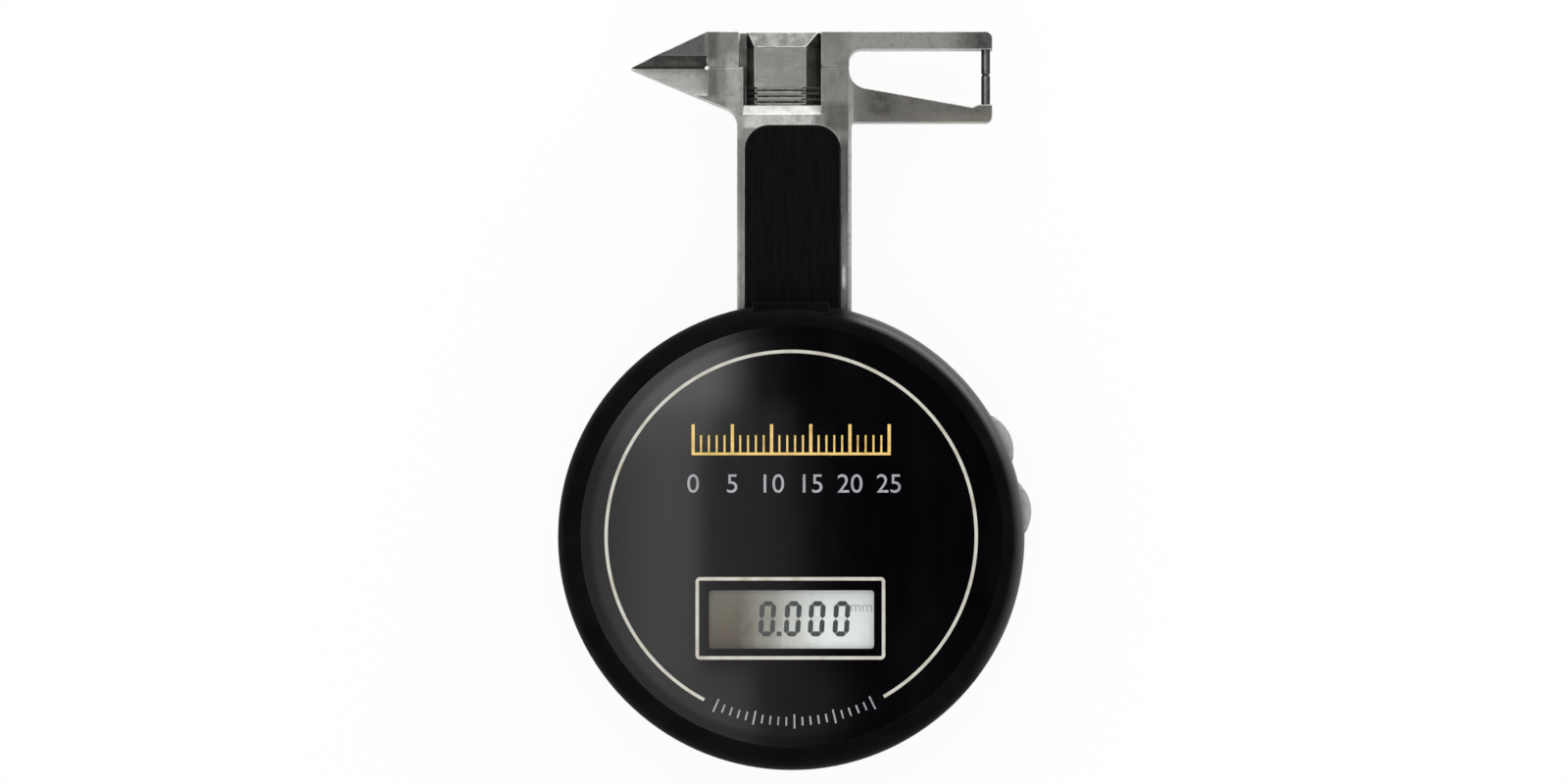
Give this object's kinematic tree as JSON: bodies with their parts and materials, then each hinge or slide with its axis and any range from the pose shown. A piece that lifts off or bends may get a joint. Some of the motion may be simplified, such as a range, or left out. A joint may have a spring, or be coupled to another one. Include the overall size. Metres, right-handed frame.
{
  "type": "digital gemstone gauge",
  "caption": "Hand gauge for cut stones: round black case with a display, flat steel stem, and a sliding jaw with a pointed beak on one side and pin-tipped arms on the other.",
  "frame": {"origin": "centre of the round case on the flat back that it rests on", "axes": "+Y along the stem towards the jaws, +Z out of the display face, +X to the right of the display"},
  "size_m": [0.0605, 0.0945, 0.0152],
  "materials": {
    "case_black": "moulded satin black",
    "panel_black": "polished black",
    "window_clear": "clear polished",
    "lcd_grey": "grey-green display glass",
    "frame_plastic": "moulded",
    "contact_rubber": "layered conductive rubber",
    "board_green": "lacquered board",
    "screw_steel": "zinc plated",
    "chip_black": "moulded",
    "plated_metal": "nickel plated",
    "spring_steel": "drawn",
    "jaw_steel": "ground and worn",
    "cover_black": "matt black",
    "pin_steel": "ground",
    "brass_plate": "milled",
    "brass_bush": "turned",
    "brass_gear": "cut and polished",
    "button_rubber": "moulded satin"
  },
  "bodies": {
    "housing": {"rear_case": "case_black", "front_case": "case_black", "face_panel": "panel_black", "display_window": "window_clear", "lcd_glass": "lcd_grey", "lcd_frame": "frame_plastic", "contact_strips": "contact_rubber", "circuit_board": "board_green", "board_screws": "screw_steel", "processor_chip": "chip_black", "crystal": "plated_metal", "switch_bodies": "chip_black", "battery_cell": "plated_metal", "battery_leaf": "spring_steel", "battery_side_contact": "spring_steel", "case_screws": "screw_steel", "jaw_frame": "jaw_steel", "stem_cover": "cover_black", "lower_pin": "pin_steel", "stem_screws": "screw_steel", "mechanism_plate": "brass_plate", "plate_screws": "screw_steel", "stop_pin": "pin_steel", "lower_bush": "brass_bush", "upper_bush": "brass_bush", "bridge_pillars": "brass_plate", "pinion_bridge": "brass_plate", "bridge_screws": "screw_steel", "read_head": "chip_black", "spring_anchor": "pin_steel", "return_spring": "spring_steel"},
    "jaw": {"upper_jaw": "jaw_steel", "slide_bar": "jaw_steel", "jaw_screws": "screw_steel", "upper_pin": "pin_steel", "spring_post": "pin_steel"},
    "arbor": {"pinion": "brass_gear", "pinion_shaft": "pin_steel", "encoder_hub": "brass_gear", "encoder_disc": "plated_metal"},
    "on_off": {"button_on_off": "button_rubber", "plunger_on_off": "chip_black"},
    "zero": {"button_zero": "button_rubber", "plunger_zero": "chip_black"},
    "door": {"battery_door": "case_black"}
  },
  "joints": [
    {"name": "jaw_slide", "type": "slide", "parent": "housing", "child": "jaw", "axis": [0, 1, 0], "range_m": [0, 0.0254], "stiffness_N_per_m": 40, "springref_m": -0.008, "deforming": ["return_spring"]},
    {"name": "pinion_spin", "type": "hinge", "parent": "housing", "child": "arbor", "pos_m": [0.00665, 0.015, 0.0075], "axis": [0, 0, 1], "range_deg": [-365, 2]},
    {"name": "on_off_press", "type": "slide", "parent": "housing", "child": "on_off", "axis": [-0.9048, -0.4258, 0], "range_m": [0, 0.0005], "stiffness_N_per_m": 600, "springref_m": -0.0006},
    {"name": "zero_press", "type": "slide", "parent": "housing", "child": "zero", "axis": [-0.9921, -0.1253, 0], "range_m": [0, 0.0005], "stiffness_N_per_m": 600, "springref_m": -0.0006},
    {"name": "door_turn", "type": "hinge", "parent": "housing", "child": "door", "pos_m": [-0.0135, -0.006, 0.001], "axis": [0, 0, 1], "range_deg": [0, 60]}
  ],
  "couplings": [
    {"joint": "pinion_spin", "follows": "jaw_slide", "rad_per_m": -250}
  ]
}
